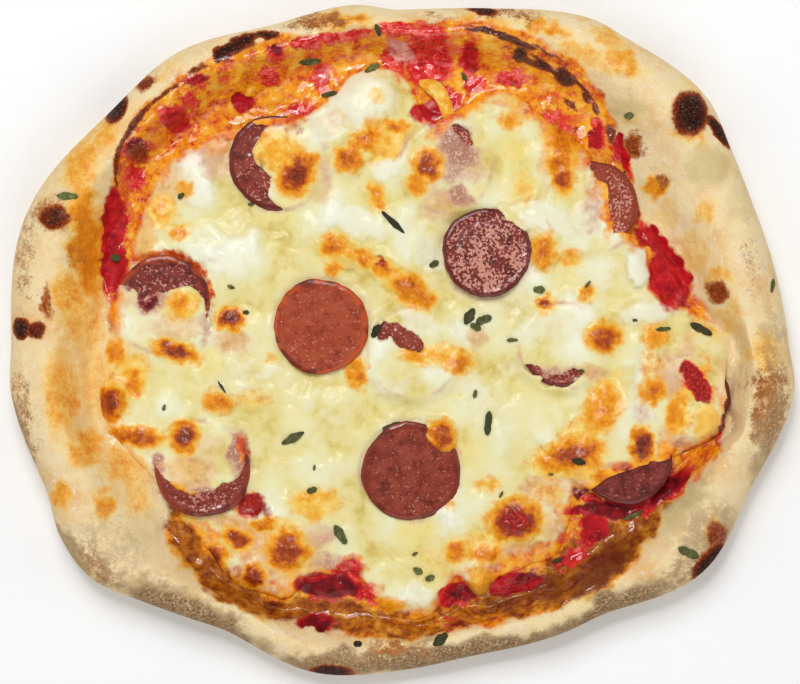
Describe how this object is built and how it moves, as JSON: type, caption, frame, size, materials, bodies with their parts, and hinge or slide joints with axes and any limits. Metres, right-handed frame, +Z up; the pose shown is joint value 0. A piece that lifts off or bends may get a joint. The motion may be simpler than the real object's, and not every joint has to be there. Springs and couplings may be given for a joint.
{
  "type": "pinsa",
  "caption": "small oval pinsa with a puffed baked crust, tomato sauce, melted mozzarella, smoked sausage slices and dried herb flakes",
  "frame": {"origin": "middle of the flat underside, under the middle of the outline's box", "axes": "+Z up out of the toppings, +X along the longer side of the oval, +Y away from the diner"},
  "size_m": [0.235, 0.2014, 0.0225],
  "materials": {
    "crust": "baked wheat dough, floury and matt, browned and charred in spots",
    "sauce": "wet crushed tomato, orange and dry where it baked on the rim",
    "cheese": "melted mozzarella, soft gloss, slightly translucent, browned in spots",
    "sausage": "cut smoked sausage, oily, finely grained"
  },
  "bodies": {
    "root": {"crust": "crust", "sauce": "sauce", "cheese": "cheese", "cheese_shred": "cheese", "slice_centre": "sausage", "slice_right": "sausage", "slice_lower": "sausage", "slice_upper_left": "sausage", "slice_left": "sausage", "slice_lower_left": "sausage", "slice_lower_right": "sausage", "slice_far_right": "sausage", "slice_upper_right": "sausage", "slice_top": "sausage", "slice_middle": "sausage", "slice_middle_right": "sausage"}
  },
  "joints": []
}
